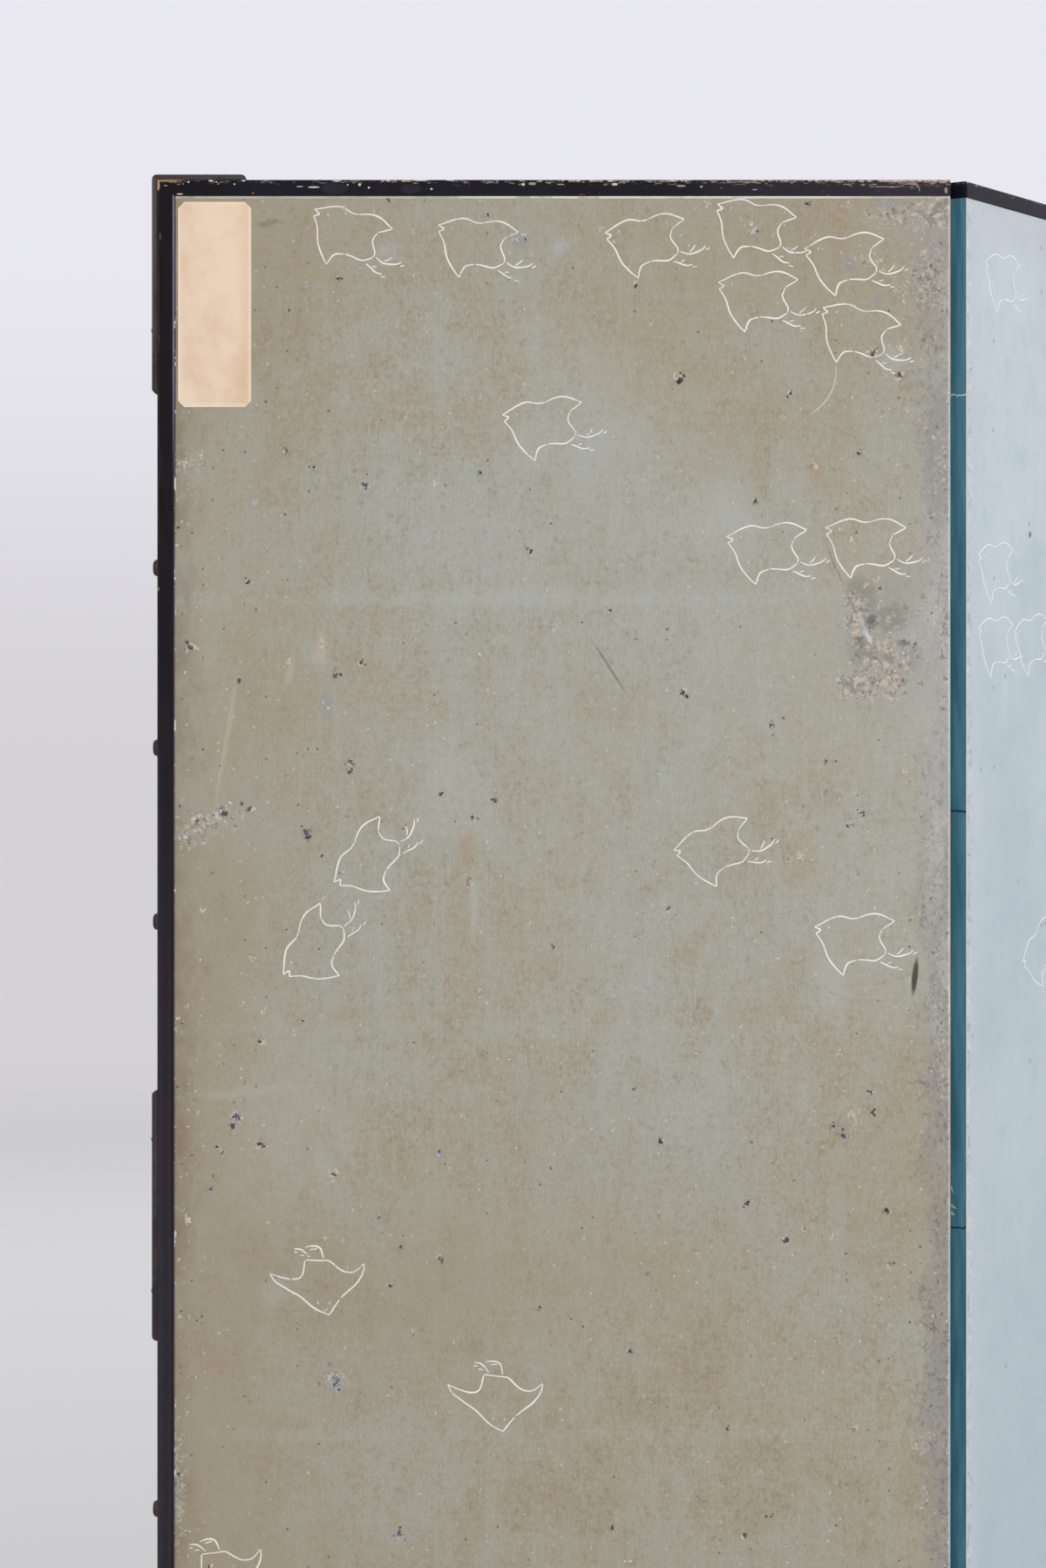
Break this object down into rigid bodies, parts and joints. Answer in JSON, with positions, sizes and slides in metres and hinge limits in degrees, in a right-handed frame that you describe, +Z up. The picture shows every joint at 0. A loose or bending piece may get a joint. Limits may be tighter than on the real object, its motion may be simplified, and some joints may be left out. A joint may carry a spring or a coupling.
{
  "type": "byobu folding screen",
  "caption": "Standing folding screen of paper-covered lattice panels in lacquered frames, hinged edge to edge with paper so that it folds flat.",
  "frame": {"origin": "on the floor, in the middle of the standing zigzag's box", "axes": "+X along the screen from leaf 1 to the last, +Y towards the gold fronts, +Z up"},
  "size_m": [3.3092, 0.3156, 1.6414],
  "materials": {
    "core_wood": "bare cedar",
    "aged_back_paper": "aged, brushed and printed",
    "back_paper": "printed paper",
    "gold_ground": "gold leaf",
    "brocade": "woven silk",
    "lacquer": "black lacquer, gloss",
    "fitting_metal": "dark patina",
    "hinge_paper": "matte",
    "title_slip": "matte, bare"
  },
  "bodies": {
    "panel_1": {"panel_1_lattice": "core_wood", "panel_1_back_paper": "aged_back_paper", "panel_1_front_paper": "gold_ground", "panel_1_front_border": "brocade", "panel_1_top_rail": "lacquer", "panel_1_bottom_rail": "lacquer", "fold_1_hinge_left": "hinge_paper", "panel_1_stile": "lacquer", "panel_1_top_corner_fitting": "fitting_metal", "panel_1_bottom_corner_fitting": "fitting_metal", "panel_1_side_plate": "fitting_metal", "panel_1_studs": "fitting_metal", "panel_1_fitting_nails": "fitting_metal", "panel_1_title_slip": "title_slip"},
    "panel_2": {"panel_2_lattice": "core_wood", "panel_2_back_paper": "back_paper", "panel_2_front_paper": "gold_ground", "panel_2_front_border": "brocade", "panel_2_top_rail": "lacquer", "panel_2_bottom_rail": "lacquer", "fold_1_hinge_right": "hinge_paper", "fold_2_hinge_left": "hinge_paper"},
    "panel_3": {"panel_3_lattice": "core_wood", "panel_3_back_paper": "back_paper", "panel_3_front_paper": "gold_ground", "panel_3_front_border": "brocade", "panel_3_top_rail": "lacquer", "panel_3_bottom_rail": "lacquer", "fold_2_hinge_right": "hinge_paper", "fold_3_hinge_left": "hinge_paper"},
    "panel_4": {"panel_4_lattice": "core_wood", "panel_4_back_paper": "back_paper", "panel_4_front_paper": "gold_ground", "panel_4_front_border": "brocade", "panel_4_top_rail": "lacquer", "panel_4_bottom_rail": "lacquer", "fold_3_hinge_right": "hinge_paper", "fold_4_hinge_left": "hinge_paper"},
    "panel_5": {"panel_5_lattice": "core_wood", "panel_5_back_paper": "back_paper", "panel_5_front_paper": "gold_ground", "panel_5_front_border": "brocade", "panel_5_top_rail": "lacquer", "panel_5_bottom_rail": "lacquer", "fold_4_hinge_right": "hinge_paper", "fold_5_hinge_left": "hinge_paper"},
    "panel_6": {"panel_6_lattice": "core_wood", "panel_6_back_paper": "aged_back_paper", "panel_6_front_paper": "gold_ground", "panel_6_front_border": "brocade", "panel_6_top_rail": "lacquer", "panel_6_bottom_rail": "lacquer", "fold_5_hinge_right": "hinge_paper", "panel_6_stile": "lacquer", "panel_6_top_corner_fitting": "fitting_metal", "panel_6_bottom_corner_fitting": "fitting_metal", "panel_6_side_plate": "fitting_metal", "panel_6_studs": "fitting_metal", "panel_6_fitting_nails": "fitting_metal"}
  },
  "joints": [
    {"name": "fold_1", "type": "hinge", "parent": "panel_2", "child": "panel_1", "pos_m": [-1.09334, -0.1438, 0], "axis": [0, 0, -1], "range_deg": [-57, 122.4]},
    {"name": "fold_2", "type": "hinge", "parent": "panel_3", "child": "panel_2", "pos_m": [-0.54667, 0.13447, 0], "axis": [0, 0, 1], "range_deg": [-57, 122.4]},
    {"name": "fold_3", "type": "hinge", "parent": "panel_3", "child": "panel_4", "pos_m": [0, -0.1438, 0], "axis": [0, 0, 1], "range_deg": [-57, 122.4]},
    {"name": "fold_4", "type": "hinge", "parent": "panel_4", "child": "panel_5", "pos_m": [0.54667, 0.13447, 0], "axis": [0, 0, -1], "range_deg": [-57, 122.4]},
    {"name": "fold_5", "type": "hinge", "parent": "panel_5", "child": "panel_6", "pos_m": [1.09334, -0.1438, 0], "axis": [0, 0, 1], "range_deg": [-57, 122.4]}
  ]
}
